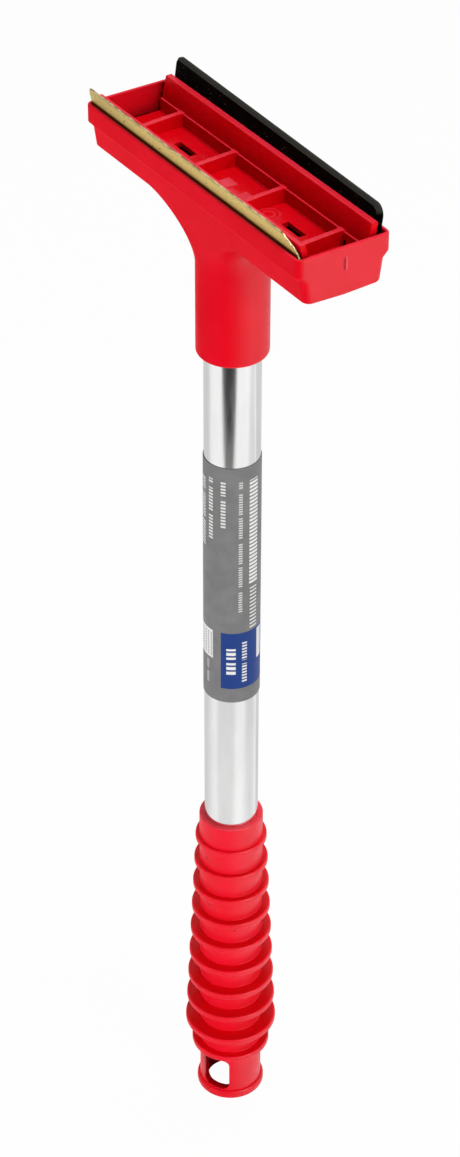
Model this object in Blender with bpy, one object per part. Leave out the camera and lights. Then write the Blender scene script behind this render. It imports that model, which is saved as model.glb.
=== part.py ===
"""Ice scraper with a brass blade, a rubber strip and a ribbed hand grip.

A moulded T-shaped head holds a brass scraping blade along its front edge and a
rubber wiping strip along its rear edge. A moulded carrier pressed into the head
clamps both. An aluminium tube joins the head to the grip, and a printed sleeve is
wrapped round the tube.

All lengths are in metres. The origin is the middle of the grip's end face, +Z runs
up the handle to the head, +X runs along the blade and -Y is the blade's side.
"""
import math

import bmesh
import bpy
from mathutils import Matrix, Vector

# Clearances and overruns
clearance = 0.0003
sleeve_clearance = 0.0001
overrun = 0.0010
fuse = 0.0003
merge_distance = 0.000002

# Overall
handle_reach = 0.3304

# Scraping blade
blade_length = 0.1000
blade_thickness = 0.0009
blade_stand = 0.0046
blade_lean = math.radians(10)
blade_far_corner = 0.0008
blade_taper_length = 0.0075
blade_taper_drop = 0.0039
blade_taper_round = 0.0045
blade_foot_corner = 0.0005
blade_grind = 0.0004

# Rubber strip
strip_length = 0.0963
strip_shift = 0.00045
strip_thickness = 0.0017
strip_stand_far = 0.0080
strip_stand_near = 0.0061
strip_lean = math.radians(8)
strip_far_corner = 0.0024
strip_near_corner = 0.0032
strip_foot_corner = 0.0008

# Head: the tray
tray_width = 0.0287
tray_wall = 0.0011
tray_height = 0.0134
tray_crown = 0.0005
tray_corner = 0.0022
tray_foot_round = 0.0007
rim_round = 0.00045
band_height = 0.0052
step_inset = 0.00165
step_round = 0.0006
well_depth = 0.0099
well_corner = 0.0004

# Head: the flare and the socket
socket_radius = 0.01015
socket_foot_depth = 0.0566
socket_foot_round = 0.0012
bore_top_depth = 0.0164
flare_radius = 0.0155
flare_bury = 0.0005
flare_edge = 0.0016
flare_ease = 1.3
flare_fade = 1.5
flare_proud = 0.00004

# Carrier between the blade and the strip
carrier_length = 0.0972
carrier_shift = 0.0006
carrier_stand = 0.0029
carrier_wall = 0.0019
carrier_splay = math.radians(12)
carrier_ledge = 0.0004
carrier_ledge_depth = 0.0034
carrier_floor_depth = 0.0071
carrier_floor = 0.0013
carrier_skirt = 0.0014
carrier_round = 0.0004
carrier_outer_round = 0.0002
carrier_rib = 0.0012
carrier_rib_rise = 0.0003
carrier_rib_fall = 0.0005
inner_rib_spacing = 0.0232
outer_rib_spacing = 0.0760
slot_spacing = 0.0518
slot_length = 0.0082
slot_width = 0.0022
slot_offset = 0.0012

# Handle tube
tube_radius = 0.0080
tube_wall = 0.0010
tube_edge = 0.0003

# Printed sleeve
sleeve_length = 0.0814
sleeve_drop = 0.0334
sleeve_thickness = 0.00015

# Grip
grip_length = 0.1115
grip_core_radius = 0.0096
collar_height = 0.0090
collar_round = 0.0006
rib_count = 9
rib_radius_top = 0.0108
rib_radius_low = 0.0141
rib_thickness = 0.0021
rib_round = 0.0005
rib_root = 0.0005
shoulder_height = 0.0189
shoulder_radius = 0.0121
flange_radius = 0.0105
flange_thickness = 0.0030
flange_round = 0.0010
flange_root = 0.0005
neck_bore_radius = 0.0073
window_width = 0.0092
window_sill = 0.0005
window_lintel = 0.0021
window_corner = 0.0022
window_turn = math.radians(26)
seat_web = 0.0027

# Mesh fineness
turn_steps = 36
corner_steps = 9
flare_steps = 11
round_steps = 3
rib_steps = 2

# Sizes worked out from those above
tray_length = blade_length + 2 * (clearance + tray_wall)
cavity_half_length = tray_length / 2 - tray_wall
cavity_half_width = tray_width / 2 - tray_wall
lower_half_width = tray_width / 2 - step_inset
step_depth = band_height + step_inset
flare_foot_depth = tray_height - flare_bury + flare_radius
shelf_depth = band_height - tray_wall * (math.sqrt(2) - 1)
well_half_width = lower_half_width - tray_wall
well_shelf_depth = shelf_depth + cavity_half_width - well_half_width
bore_radius = tube_radius + clearance
rib_pitch = (grip_length - collar_height - shoulder_height) / rib_count
window_foot = flange_thickness + window_sill
window_head = shoulder_height - rib_thickness / 2 - window_lintel
seat_height = window_head + seat_web
tube_foot = seat_height + clearance
tube_head = handle_reach - bore_top_depth - clearance
sleeve_head = handle_reach - socket_foot_depth - sleeve_drop


def body_half_width(depth):
    """Half the head's width below the step, easing into the socket at a depth."""
    share = (flare_foot_depth - depth) / (flare_foot_depth - step_depth)
    return socket_radius + (lower_half_width - socket_radius) * share ** flare_ease


def foot_depth(lean):
    """How deep a leaning strip reaches before it meets the cavity's sloped shelf."""
    return (shelf_depth + clearance * (1 - math.sqrt(2))) / (1 - math.tan(lean))


def rounded(corners, steps):
    """Outline through corners given as (x, y, radius), with each radius as an arc."""
    points = []
    for index, (x, y, radius) in enumerate(corners):
        corner = Vector((x, y))
        if radius == 0:
            points.append(corner)
            continue
        before = Vector(corners[index - 1][:2]) - corner
        after = Vector(corners[(index + 1) % len(corners)][:2]) - corner
        half_angle = before.angle(after) / 2
        middle = (before.normalized() + after.normalized()).normalized()
        centre = corner + middle * radius / math.sin(half_angle)
        start = corner + before.normalized() * radius / math.tan(half_angle) - centre
        end = corner + after.normalized() * radius / math.tan(half_angle) - centre
        for step in range(steps + 1):
            arm = start.lerp(end, step / steps) if steps < 2 else start.slerp(end, step / steps)
            points.append(centre + arm.normalized() * radius)
    return points


def section(half_x, half_y, radius, depth, crown=0.0):
    """Rounded rectangle at a depth below the rim, its middle lower by the crown."""
    points = []
    for quarter, (side_x, side_y) in enumerate(((1, 1), (-1, 1), (-1, -1), (1, -1))):
        for step in range(corner_steps + 1):
            angle = math.pi / 2 * (quarter + step / corner_steps)
            x = side_x * (half_x - radius) + radius * math.cos(angle)
            y = side_y * (half_y - radius) + radius * math.sin(angle)
            points.append((x, y))
        if quarter % 2 == 1:
            points.append((side_x * half_x, 0.0))
    return [Vector((x, y, handle_reach - depth - crown * (1 - abs(y) / half_y)))
            for x, y in points]


def loft(sections):
    """Closed skin through sections of equal point counts, in order, capped flat."""
    bm = bmesh.new()
    rings = []
    for points in sections:
        verts = [bm.verts.new(point) for point in points]
        edges = [bm.edges.new((verts[i - 1], verts[i])) for i in range(len(verts))]
        rings.append((verts, edges))
    for lower, upper in zip(rings, rings[1:]):
        bmesh.ops.bridge_loops(bm, edges=lower[1] + upper[1])
    bm.faces.new(rings[0][0])
    bm.faces.new(rings[-1][0])
    bmesh.ops.remove_doubles(bm, verts=bm.verts, dist=merge_distance)
    bmesh.ops.recalc_face_normals(bm, faces=bm.faces)
    return bm


def extruded(outline, place, reach):
    """Prism of a flat outline: place lifts a point into space, reach is its depth."""
    bm = bmesh.new()
    face = bm.faces.new([bm.verts.new(place(*point)) for point in outline])
    pushed = bmesh.ops.extrude_face_region(bm, geom=[face])
    verts = [item for item in pushed["geom"] if isinstance(item, bmesh.types.BMVert)]
    bmesh.ops.translate(bm, verts=verts, vec=reach)
    bmesh.ops.recalc_face_normals(bm, faces=bm.faces)
    return bm


def turned(profile):
    """Ring turned about Z from a closed profile of (radius, height) points."""
    bm = bmesh.new()
    verts = [bm.verts.new((radius, 0.0, height)) for radius, height in profile]
    edges = [bm.edges.new((verts[i - 1], verts[i])) for i in range(len(verts))]
    bmesh.ops.spin(bm, geom=verts + edges, cent=(0, 0, 0), axis=(0, 0, 1),
                   angle=math.tau, steps=turn_steps, use_merge=True)
    bmesh.ops.recalc_face_normals(bm, faces=bm.faces)
    return bm


def material(name, colour, roughness, metallic=0.0):
    """Principled BSDF material."""
    made = bpy.data.materials.new(name)
    made.use_nodes = True
    shader = made.node_tree.nodes["Principled BSDF"]
    shader.inputs["Base Color"].default_value = (*colour, 1.0)
    shader.inputs["Roughness"].default_value = roughness
    shader.inputs["Metallic"].default_value = metallic
    return made


def add(name, bm, look=None, sharp_angle=35):
    """Object from a finished bmesh, shaded smooth except across sharp edges."""
    mesh = bpy.data.meshes.new(name)
    bm.to_mesh(mesh)
    bm.free()
    mesh.shade_smooth()
    mesh.set_sharp_from_angle(angle=math.radians(sharp_angle))
    if look:
        mesh.materials.append(look)
    made = bpy.data.objects.new(name, mesh)
    bpy.context.scene.collection.objects.link(made)
    return made


def combine(target, tool, operation):
    """Fuse a hidden tool into the target, or cut it out."""
    tool.hide_render = True
    tool.display_type = "WIRE"
    step = target.modifiers.new(operation.lower() + "_" + tool.name, "BOOLEAN")
    step.operation = operation
    step.solver = "EXACT"
    step.object = tool


def make_tray():
    """Outside of the tray: drafted foot, 45 degree step and plain upper band."""
    half_x = tray_length / 2
    foot_width = body_half_width(tray_height)
    sections = []
    for step in range(round_steps + 1):
        angle = math.pi / 2 * step / round_steps
        inset = tray_foot_round * (1 - math.sin(angle))
        depth = tray_height - tray_foot_round * (1 - math.cos(angle))
        sections.append(section(half_x - inset, foot_width - inset, tray_corner - inset,
                                depth, tray_crown * math.cos(angle)))
    side = rounded(((foot_width, tray_height, 0), (lower_half_width, step_depth, step_round),
                    (tray_width / 2, band_height, step_round), (tray_width / 2, 0, 0)),
                   rib_steps)
    for width, depth in side[1:-1]:
        sections.append(section(half_x, width, tray_corner, depth))
    for step in range(round_steps + 1):
        angle = math.pi / 2 * step / round_steps
        inset = rim_round * (1 - math.cos(angle))
        sections.append(section(half_x - inset, tray_width / 2 - inset, tray_corner - inset,
                                rim_round * (1 - math.sin(angle))))
    bm = loft(sections)
    bm.verts.ensure_lookup_table()
    foot_middles = [vert for vert in bm.verts[:len(sections[0])] if vert.co.y == 0]
    bmesh.ops.connect_verts(bm, verts=foot_middles)
    return bm


def make_flare():
    """Socket that swells by two concave arcs into the underside of the tray."""
    sections = []
    for step in range(round_steps + 1):
        angle = math.pi / 2 * step / round_steps
        radius = socket_radius - socket_foot_round * (1 - math.sin(angle))
        depth = socket_foot_depth - socket_foot_round * (1 - math.cos(angle))
        sections.append(section(radius, radius, radius, depth))
    for step in range(flare_steps + 1):
        angle = math.pi / 2 * step / flare_steps
        depth = flare_foot_depth - flare_radius * math.sin(angle)
        half_x = socket_radius + flare_radius * (1 - math.cos(angle))
        half_y = body_half_width(depth) + flare_proud
        corner = half_y + (flare_edge - half_y) * math.sin(angle) ** flare_fade
        sections.append(section(half_x, half_y, min(corner, half_x), depth))
    top = body_half_width(step_depth + tray_foot_round) + flare_proud
    sections.append(section(socket_radius + flare_radius, top, flare_edge,
                            step_depth + tray_foot_round))
    return loft(sections)


def make_cavity():
    """Hollow of the tray: straight at the rim, a sloped shelf, then a narrow well."""
    floor_width = body_half_width(well_depth) - tray_wall
    steps = ((-overrun, cavity_half_width), (shelf_depth, cavity_half_width),
             (well_shelf_depth, well_half_width), (well_depth, floor_width))
    return loft([section(cavity_half_length, width, well_corner, depth)
                 for depth, width in steps])


def carrier_faces(thickness, lean):
    """Distances from the middle plane to a carrier wall that backs a leaning strip."""
    face = cavity_half_width - clearance - (thickness + clearance) / math.cos(lean)
    outer_top = face + carrier_stand * math.tan(lean)
    outer_foot = face - (well_depth - clearance) * math.tan(lean)
    inner_top = outer_top - carrier_wall
    rise = carrier_stand + carrier_ledge_depth
    inner_ledge = inner_top - rise * math.tan(carrier_splay)
    return outer_top, outer_foot, inner_top, inner_ledge, inner_ledge - carrier_ledge


def make_carrier():
    """Channel with splayed side walls, standing on two skirts in the tray's well."""
    foot = well_depth - clearance
    corners = []
    for side, thickness, lean in ((-1, blade_thickness, blade_lean),
                                  (1, strip_thickness, strip_lean)):
        outer_top, outer_foot, inner_top, inner_ledge, lower = carrier_faces(thickness, lean)
        skirt = outer_foot - carrier_skirt
        wall = [(skirt, foot, 0), (outer_foot, foot, 0),
                (outer_top, -carrier_stand, carrier_outer_round),
                (inner_top, -carrier_stand, carrier_round),
                (inner_ledge, carrier_ledge_depth, 0), (lower, carrier_ledge_depth, 0),
                (lower, carrier_floor_depth, 0)]
        under = (skirt, carrier_floor_depth + carrier_floor, 0)
        wall = [under] + wall
        corners += [(side * y, depth, radius) for y, depth, radius in wall[::-side]]
    outline = rounded(corners, rib_steps)
    start = carrier_shift - carrier_length / 2
    return extruded(outline, lambda y, depth: (start, y, handle_reach - depth),
                    (carrier_length, 0, 0))


def make_carrier_rib(middle, front, rear):
    """Cross rib of the carrier, a little lower at the blade's side."""
    foot = carrier_floor_depth + fuse
    outline = ((front, foot), (rear, foot), (rear, carrier_ledge_depth - carrier_rib_rise),
               (front, carrier_ledge_depth + carrier_rib_fall))
    start = carrier_shift + middle - carrier_rib / 2
    return extruded(outline, lambda y, depth: (start, y, handle_reach - depth),
                    (carrier_rib, 0, 0))


def make_slot(middle):
    """Cutter for a slot through the carrier's floor."""
    half = slot_length / 2
    front = slot_offset - slot_width / 2
    rear = slot_offset + slot_width / 2
    outline = ((middle - half, front), (middle + half, front),
               (middle + half, rear), (middle - half, rear))
    top = handle_reach - carrier_floor_depth + overrun
    return extruded(outline, lambda x, y: (carrier_shift + x, y, top),
                    (0, 0, -(carrier_floor + 2 * overrun)))


def make_blade():
    """Brass plate with one corner tapered off and a fine ground edge."""
    half = blade_length / 2
    top = blade_stand / math.cos(blade_lean)
    foot = -foot_depth(blade_lean) / math.cos(blade_lean)
    outline = rounded(((-half, foot, blade_foot_corner), (half, foot, blade_foot_corner),
                       (half, top - blade_taper_drop, blade_taper_round),
                       (half - blade_taper_length, top, blade_taper_round),
                       (-half, top, blade_far_corner)), round_steps)
    bm = extruded(outline, lambda x, height: (x, 0, height), (0, blade_thickness, 0))
    ground = [edge for edge in bm.edges
              if all(vert.co.y > 0 and vert.co.z > 0 for vert in edge.verts)]
    bmesh.ops.bevel(bm, geom=ground, offset=blade_grind, segments=1, affect="EDGES",
                    profile=0.5, material=-1)
    return bm


def make_strip():
    """Rubber strip, cut slightly taller at its far end, with rounded upper corners."""
    left = strip_shift - strip_length / 2
    right = strip_shift + strip_length / 2
    foot = -foot_depth(strip_lean) / math.cos(strip_lean)
    far = strip_stand_far / math.cos(strip_lean)
    near = strip_stand_near / math.cos(strip_lean)
    outline = rounded(((left, foot, strip_foot_corner), (right, foot, strip_foot_corner),
                       (right, near, strip_near_corner), (left, far, strip_far_corner)),
                      2 * round_steps)
    return extruded(outline, lambda x, height: (x, 0, height), (0, -strip_thickness, 0))


def make_tube():
    """Open tube with lightly broken edges."""
    inner = tube_radius - tube_wall
    return turned(rounded(((inner, tube_foot, 0), (tube_radius, tube_foot, tube_edge),
                           (tube_radius, tube_head, tube_edge), (inner, tube_head, 0)), 1))


def make_sleeve():
    """Printed sleeve wrapped round the tube."""
    inner = tube_radius + sleeve_clearance
    outer = inner + sleeve_thickness
    foot = sleeve_head - sleeve_length
    return turned(((inner, foot), (outer, foot), (outer, sleeve_head), (inner, sleeve_head)))


def rib_corners(height, radius):
    """Corners of one thin round rib standing out of the grip's core."""
    low = height - rib_thickness / 2
    high = height + rib_thickness / 2
    return [(grip_core_radius, low, rib_root), (radius, low, rib_round),
            (radius, high, rib_round), (grip_core_radius, high, rib_root)]


def make_grip():
    """Turned grip: end flange, neck, a shoulder rib, growing ribs and the collar."""
    corners = [(neck_bore_radius, 0, 0), (flange_radius, 0, flange_round),
               (flange_radius, flange_thickness, flange_round),
               (grip_core_radius, flange_thickness, flange_root)]
    corners += rib_corners(shoulder_height, shoulder_radius)
    for index in range(rib_count):
        share = index / (rib_count - 1)
        radius = rib_radius_low + (rib_radius_top - rib_radius_low) * share
        corners += rib_corners(shoulder_height + rib_pitch * (index + 1), radius)
    corners += [(grip_core_radius, grip_length, collar_round), (bore_radius, grip_length, 0),
                (bore_radius, seat_height, 0), (neck_bore_radius, seat_height, 0)]
    return turned(rounded(corners, rib_steps))


def make_window():
    """Cutter for the hanging window, right through the neck."""
    half = window_width / 2
    reach = flange_radius + overrun
    outline = rounded(((-half, window_foot, window_corner), (half, window_foot, window_corner),
                       (half, window_head, window_corner), (-half, window_head, window_corner)),
                      round_steps)
    bm = extruded(outline, lambda x, height: (x, -reach, height), (0, 2 * reach, 0))
    bmesh.ops.rotate(bm, verts=bm.verts, cent=(0, 0, 0), matrix=Matrix.Rotation(window_turn, 3, "Z"))
    return bm


def make_head(look):
    """Head body: the tray fused to the flare, hollowed and bored for the tube."""
    head = add("head_body", make_tray(), look)
    combine(head, add("flare_tool", make_flare()), "UNION")
    combine(head, add("cavity_tool", make_cavity()), "DIFFERENCE")
    foot = handle_reach - socket_foot_depth - overrun
    top = handle_reach - bore_top_depth
    bore = bmesh.new()
    bmesh.ops.create_cone(bore, cap_ends=True, segments=turn_steps, radius1=bore_radius,
                          radius2=bore_radius, depth=top - foot)
    bmesh.ops.translate(bore, verts=bore.verts, vec=(0, 0, (top + foot) / 2))
    combine(head, add("bore_tool", bore), "DIFFERENCE")
    return head


def make_carrier_part(look):
    """Carrier with its four cross ribs and two slots."""
    carrier = add("blade_carrier", make_carrier(), look)
    front = -carrier_faces(blade_thickness, blade_lean)[-1] - fuse
    rear = carrier_faces(strip_thickness, strip_lean)[-1] + fuse
    for spacing in (-outer_rib_spacing, -inner_rib_spacing, inner_rib_spacing, outer_rib_spacing):
        rib = add("rib_tool", make_carrier_rib(spacing / 2, front, rear))
        combine(carrier, rib, "UNION")
    for side in (-1, 1):
        slot = add("slot_tool", make_slot(side * slot_spacing / 2))
        combine(carrier, slot, "DIFFERENCE")
    return carrier


def build():
    """The whole scraper, one object for each piece."""
    for old in list(bpy.data.objects):
        bpy.data.objects.remove(old, do_unlink=True)

    red = material("red_moulding", (0.72, 0.010, 0.024), 0.38)
    grip_red = material("red_grip", (0.74, 0.012, 0.028), 0.42)
    brass = material("brass_plate", (0.62, 0.48, 0.20), 0.34, 1.0)
    rubber = material("black_rubber", (0.010, 0.010, 0.010), 0.62)
    aluminium = material("polished_aluminium", (0.86, 0.87, 0.88), 0.16, 1.0)
    print_grey = material("grey_print", (0.20, 0.20, 0.21), 0.45)

    make_head(red)
    make_carrier_part(red)

    blade = add("brass_blade", make_blade(), brass)
    blade.location = (0, -(cavity_half_width - clearance), handle_reach)
    blade.rotation_euler = (blade_lean, 0, 0)

    strip = add("rubber_strip", make_strip(), rubber)
    strip.location = (0, cavity_half_width - clearance, handle_reach)
    strip.rotation_euler = (-strip_lean, 0, 0)

    add("handle_tube", make_tube(), aluminium)
    add("printed_sleeve", make_sleeve(), print_grey)
    grip = add("ribbed_grip", make_grip(), grip_red)
    combine(grip, add("window_tool", make_window()), "DIFFERENCE")


build()
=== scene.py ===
# %% [markdown]
# # An ice scraper in plastic, brass, rubber and aluminium
# The scraper has a T-shaped red head with a brass blade and a rubber strip, a bright
# aluminium tube with a printed sleeve, and a ribbed red grip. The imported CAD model
# gives every place and size. Each cell below models one piece more finely than the CAD
# does, and gives it its finish.

# %% Load the CAD frame
import math

import bmesh
import bpy
from mathutils import Matrix, Vector


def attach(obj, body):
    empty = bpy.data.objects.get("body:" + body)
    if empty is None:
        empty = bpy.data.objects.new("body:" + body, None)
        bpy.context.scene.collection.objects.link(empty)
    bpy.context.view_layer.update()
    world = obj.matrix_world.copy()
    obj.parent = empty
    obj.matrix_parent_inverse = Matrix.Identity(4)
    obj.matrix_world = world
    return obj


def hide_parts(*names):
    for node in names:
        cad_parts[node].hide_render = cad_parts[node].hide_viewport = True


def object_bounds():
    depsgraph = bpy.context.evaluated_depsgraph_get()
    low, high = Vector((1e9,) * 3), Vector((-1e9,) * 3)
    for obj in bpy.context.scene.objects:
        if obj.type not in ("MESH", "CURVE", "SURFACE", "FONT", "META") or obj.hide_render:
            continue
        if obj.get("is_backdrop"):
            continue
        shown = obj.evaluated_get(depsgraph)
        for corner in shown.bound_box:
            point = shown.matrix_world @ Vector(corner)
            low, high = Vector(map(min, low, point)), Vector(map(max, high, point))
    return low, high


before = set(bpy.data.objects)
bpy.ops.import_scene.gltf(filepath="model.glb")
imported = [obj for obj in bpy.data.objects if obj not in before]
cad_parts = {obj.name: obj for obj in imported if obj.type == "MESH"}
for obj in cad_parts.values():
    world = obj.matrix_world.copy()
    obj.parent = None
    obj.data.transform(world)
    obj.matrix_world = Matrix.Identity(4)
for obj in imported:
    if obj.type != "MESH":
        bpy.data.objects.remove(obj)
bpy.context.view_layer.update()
print("CAD nodes:", sorted(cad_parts))

# %% [markdown]
# ## The camera
# The photograph looks down on the scraper from its right front. The view was found by
# matching the blade's ends, the rim and the circles of the socket, sleeve and grip.
# A long lens keeps the handle's sides nearly parallel, as they are there.

# %% Camera
camera_place = (0.60662, -0.39674, 0.71995)
camera_turn = math.radians(56.858)
camera_tilt = math.radians(35.783)
camera_roll = math.radians(0.162)


def in_scene(name, data):
    """New object of some data, linked to the scene."""
    thing = bpy.data.objects.new(name, data)
    bpy.context.scene.collection.objects.link(thing)
    return thing


camera_data = bpy.data.cameras.new("camera")
camera_data.lens = 97.45
camera_data.clip_start = 0.01
camera = in_scene("camera", camera_data)
camera.matrix_world = (Matrix.Translation(camera_place)
                       @ Matrix.Rotation(camera_turn, 4, "Z")
                       @ Matrix.Rotation(math.pi / 2 - camera_tilt, 4, "X")
                       @ Matrix.Rotation(camera_roll, 4, "Z"))
bpy.context.scene.camera = camera

# %% [markdown]
# ## Building shapes in millimetres
# Every piece is drawn in millimetres, upright, with the middle of the grip's end at the
# origin. When it is finished, its mesh is scaled to metres, so that its object stays at
# the origin, unturned and unscaled, as a CAD node's does.
#
# All pieces are made from a few operators: a flat outline whose corners are rounded, a
# push along a direction, a full spin, and cuts.

# %% Helpers for shapes
mm = 0.001
spin_steps = 128


def rounded_outline(corners, segments):
    """Flat face in the XZ plane through (x, z, radius) corners, each one rounded."""
    bm = bmesh.new()
    verts = [bm.verts.new((x, 0, z)) for x, z, _ in corners]
    bm.faces.new(verts)
    reaches = []
    for index, (_, _, radius) in enumerate(corners):
        here = verts[index].co
        before = verts[index - 1].co - here
        after = verts[(index + 1) % len(verts)].co - here
        reaches.append(radius / math.tan(before.angle(after) / 2))
    for vert, reach in zip(verts, reaches):
        if reach > 0:
            bmesh.ops.bevel(bm, geom=[vert], offset=reach, segments=segments,
                            profile=0.5, affect="VERTICES", material=-1)
    return bm


def pushed(bm, direction):
    """Solid made by pushing a flat face along a direction."""
    made = bmesh.ops.extrude_face_region(bm, geom=bm.faces[:])
    ends = [item for item in made["geom"] if isinstance(item, bmesh.types.BMVert)]
    bmesh.ops.translate(bm, verts=ends, vec=direction)
    bmesh.ops.recalc_face_normals(bm, faces=bm.faces)
    return bm


def spun(bm):
    """Ring made by spinning a flat outline once round the handle's axis."""
    bmesh.ops.delete(bm, geom=bm.faces[:], context="FACES_ONLY")
    bmesh.ops.spin(bm, geom=bm.verts[:] + bm.edges[:], cent=(0, 0, 0), axis=(0, 0, 1),
                   angle=math.tau, steps=spin_steps, use_merge=True)
    bmesh.ops.recalc_face_normals(bm, faces=bm.faces)
    return bm


def moved(bm, x, y, z):
    """Whole shape, moved."""
    bmesh.ops.translate(bm, verts=bm.verts, vec=(x, y, z))
    return bm


def turned(bm, degrees, axis):
    """Whole shape, turned round an axis through the origin."""
    bmesh.ops.rotate(bm, verts=bm.verts, cent=(0, 0, 0),
                     matrix=Matrix.Rotation(math.radians(degrees), 3, axis))
    return bm


def block(half_x, half_y, low, high):
    """Upright block centred on the handle's axis."""
    bm = bmesh.new()
    bmesh.ops.create_cube(bm, size=2)
    bmesh.ops.scale(bm, vec=(half_x, half_y, (high - low) / 2), verts=bm.verts)
    return moved(bm, 0, 0, (high + low) / 2)


def rod(radius, low, high, segments):
    """Upright rod on the handle's axis."""
    bm = bmesh.new()
    bmesh.ops.create_cone(bm, cap_ends=True, segments=segments, radius1=radius,
                          radius2=radius, depth=high - low)
    return moved(bm, 0, 0, (high + low) / 2)


def soften(bm, edges, radius, segments):
    """Round the edges of a solid, or chamfer them with one segment."""
    bmesh.ops.bevel(bm, geom=edges, offset=radius, segments=segments, profile=0.5,
                    affect="EDGES", material=-1)


# %% [markdown]
# ## Joining shapes and handing them over
# A moulding is one body, so its parts are welded with an exact Boolean, and hollows are
# cut the same way. A finished piece takes the place of its CAD node, gets smooth
# shading with its sharp edges kept, and rides on the frame's one body.

# %% Helpers for pieces
sharp_angle = math.radians(32)


def shape_object(name, bm, *finishes):
    """Object of a finished shape."""
    mesh = bpy.data.meshes.new(name)
    bm.to_mesh(mesh)
    bm.free()
    for finish in finishes:
        mesh.materials.append(finish)
    return in_scene(name, mesh)


def combined(solid, tool, operation):
    """Solid with a tool welded on (UNION) or cut out (DIFFERENCE)."""
    bodies = [shape_object("solid", solid), shape_object("tool", tool)]
    step = bodies[0].modifiers.new("step", "BOOLEAN")
    step.operation = operation
    step.solver = "EXACT"
    step.object = bodies[1]
    result = bmesh.new()
    result.from_object(bodies[0], bpy.context.evaluated_depsgraph_get())
    for body in bodies:
        bpy.data.meshes.remove(body.data)
    return result


def finish_piece(name, bm, finish, node):
    """Make a shape a piece in metres, in its finish, in the place of a CAD node."""
    bmesh.ops.scale(bm, vec=(mm, mm, mm), verts=bm.verts)
    piece = shape_object(name, bm, finish)
    mesh = piece.data
    mesh.shade_smooth()
    mesh.set_sharp_from_angle(angle=sharp_angle)
    shading = piece.modifiers.new("even_shading", "WEIGHTED_NORMAL")
    shading.keep_sharp = True
    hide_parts(node)
    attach(piece, "root")
    print(name, [round(1000 * side, 1) for side in piece.dimensions], "mm,",
          len(mesh.polygons), "faces")


# %% [markdown]
# ## Building finishes
# A moulded, rolled or drawn surface is never one flat colour: its tone drifts, its gloss
# is uneven and a fine relief breaks up the highlights. These helpers add such patterns
# to a Principled shader. They read Object coordinates, so that a pattern keeps its size
# in metres and stays on the piece. A socket knows the node tree that it is in, so a
# helper that is given one needs no finish.

# %% Helpers for finishes


def new_finish(name, roughness, metallic=0.0, specular=0.5):
    """Material with a Principled shader whose plain numbers are set on its sockets."""
    finish = bpy.data.materials.new(name)
    finish.use_nodes = True
    dress(finish, Roughness=roughness, Metallic=metallic, Specular_IOR_Level=specular)
    return finish


def add_node(owner, kind):
    """New shader node in the tree of a finish, the world or a socket."""
    tree = owner.node_tree if isinstance(owner, bpy.types.ID) else owner.id_data
    return tree.nodes.new("ShaderNode" + kind)


def feed(value, socket):
    """Set a number or a colour on a socket, or link another socket to it."""
    if isinstance(value, tuple):
        socket.default_value = (*value, 1)
    elif isinstance(value, (int, float)):
        socket.default_value = value
    else:
        socket.id_data.links.new(value, socket)


def dress(finish, **values):
    """Feed numbers, colours and patterns to the Principled shader's sockets."""
    shader = finish.node_tree.nodes["Principled BSDF"]
    for name, value in values.items():
        feed(value, shader.inputs[name.replace("_", " ")])


def place(finish, stretch=(1, 1, 1)):
    """Object coordinates, stretched along an axis where a number is below 1."""
    coordinates = add_node(finish, "TexCoord")
    mapping = add_node(finish, "Mapping")
    mapping.inputs["Scale"].default_value = stretch
    feed(coordinates.outputs["Object"], mapping.inputs["Vector"])
    return mapping.outputs["Vector"]


def cloud(finish, feature, stretch=(1, 1, 1), detail=3.0):
    """Noise whose blots are about one feature, in millimetres, across."""
    noise = add_node(finish, "TexNoise")
    noise.inputs["Scale"].default_value = 1 / (feature * mm)
    noise.inputs["Detail"].default_value = detail
    feed(place(finish, stretch), noise.inputs["Vector"])
    return noise.outputs["Fac"]


def ramp(factor, low, high, bottom=0.0, top=1.0, shape="SMOOTHSTEP"):
    """Value that goes from bottom to top while the factor goes from low to high."""
    node = add_node(factor, "MapRange")
    node.interpolation_type = shape
    for name, value in (("Value", factor), ("From Min", low), ("From Max", high),
                        ("To Min", bottom), ("To Max", top)):
        feed(value, node.inputs[name])
    return node.outputs["Result"]


def blend(factor, first, second):
    """Colour that goes from the first to the second, each a colour or a socket."""
    node = add_node(factor, "Mix")
    node.data_type = "RGBA"
    feed(factor, node.inputs["Factor"])
    for name, colour in (("A", first), ("B", second)):
        feed(colour, [s for s in node.inputs if s.name == name and s.type == "RGBA"][0])
    return [s for s in node.outputs if s.type == "RGBA"][0]


def layered(colour, *layers):
    """Colour with tones laid over it in turn, each as a factor and a tone."""
    for factor, tone in layers:
        colour = blend(factor, colour, tone)
    return colour


def maths(operation, *values):
    """One Math node on sockets and numbers."""
    sockets = [value for value in values if not isinstance(value, (int, float))]
    node = add_node(sockets[0], "Math")
    node.operation = operation
    for socket, value in zip(node.inputs, values):
        feed(value, socket)
    return node.outputs["Value"]


def product(first, second):
    """First value times the second."""
    return maths("MULTIPLY", first, second)


def rest(value):
    """What a value leaves of 1."""
    return maths("SUBTRACT", 1.0, value)


def split(vector):
    """The X, Y and Z sockets of a vector."""
    parts = add_node(vector, "SeparateXYZ")
    feed(vector, parts.inputs["Vector"])
    return parts.outputs


def length(vector):
    """Length of a vector."""
    node = add_node(vector, "VectorMath")
    node.operation = "LENGTH"
    feed(vector, node.inputs[0])
    return node.outputs["Value"]


def relief(height, depth, below=None):
    """Bump of a depth in millimetres, laid over another bump if one is given."""
    bump = add_node(height, "Bump")
    bump.inputs["Strength"].default_value = 1.0
    bump.inputs["Distance"].default_value = depth * mm
    feed(height, bump.inputs["Height"])
    if below:
        feed(below, bump.inputs["Normal"])
    return bump.outputs["Normal"]


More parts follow.
